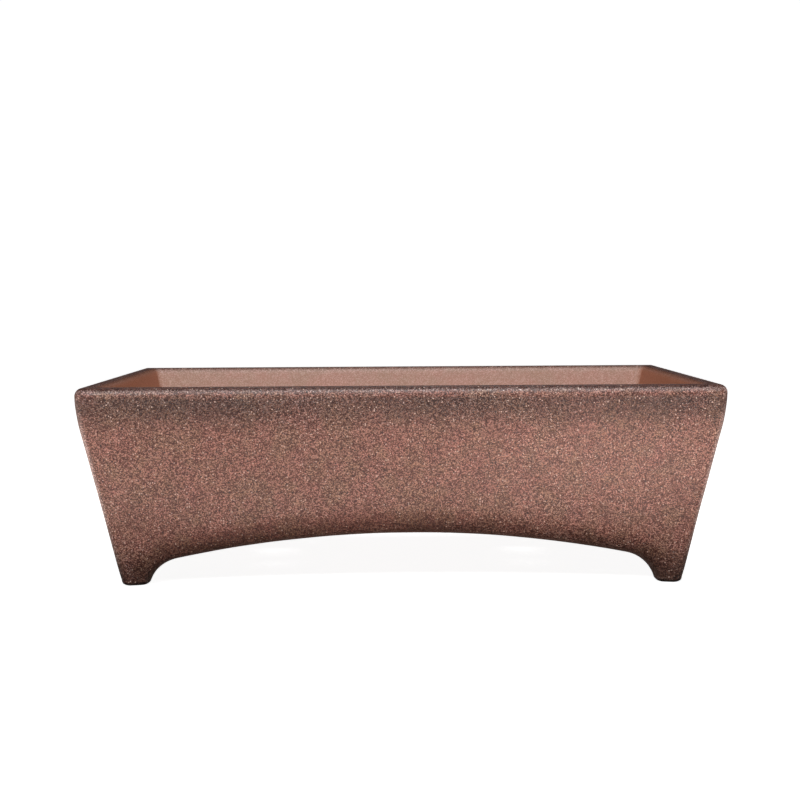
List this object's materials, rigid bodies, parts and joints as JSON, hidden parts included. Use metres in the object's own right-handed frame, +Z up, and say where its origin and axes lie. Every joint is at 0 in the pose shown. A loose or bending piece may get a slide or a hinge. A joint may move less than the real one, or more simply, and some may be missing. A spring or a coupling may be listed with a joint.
{
  "type": "bonsai pot",
  "caption": "Shallow rectangular stoneware bonsai pot with outward-leaning walls, an arch between the corner feet on each side, and screened drain holes.",
  "frame": {"origin": "on the ground under the middle of the pot", "axes": "+X along the long side, -Y out of the front, +Z up through the open mouth"},
  "size_m": [0.26, 0.19, 0.082],
  "materials": {
    "burnished_clay": "unglazed, burnished to a satin sheen, with fine pale and dark grains",
    "raw_clay": "unglazed, dry and matt, paler than the outside",
    "screen_plastic": "moulded, matt",
    "clip_wire": "drawn, slightly dull"
  },
  "bodies": {
    "root": {"front_wall": "burnished_clay", "back_wall": "burnished_clay", "left_wall": "burnished_clay", "right_wall": "burnished_clay", "floor_slab": "raw_clay", "corner_fillet_front_left": "raw_clay", "corner_fillet_front_right": "raw_clay", "corner_fillet_back_left": "raw_clay", "corner_fillet_back_right": "raw_clay", "floor_fillet_front": "raw_clay", "floor_fillet_back": "raw_clay", "floor_fillet_left": "raw_clay", "floor_fillet_right": "raw_clay", "under_fillet_front": "raw_clay", "under_fillet_back": "raw_clay", "under_fillet_left": "raw_clay", "under_fillet_right": "raw_clay", "drain_screen_left": "screen_plastic", "drain_screen_right": "screen_plastic", "screen_clip_left": "clip_wire", "screen_clip_right": "clip_wire"}
  },
  "joints": []
}
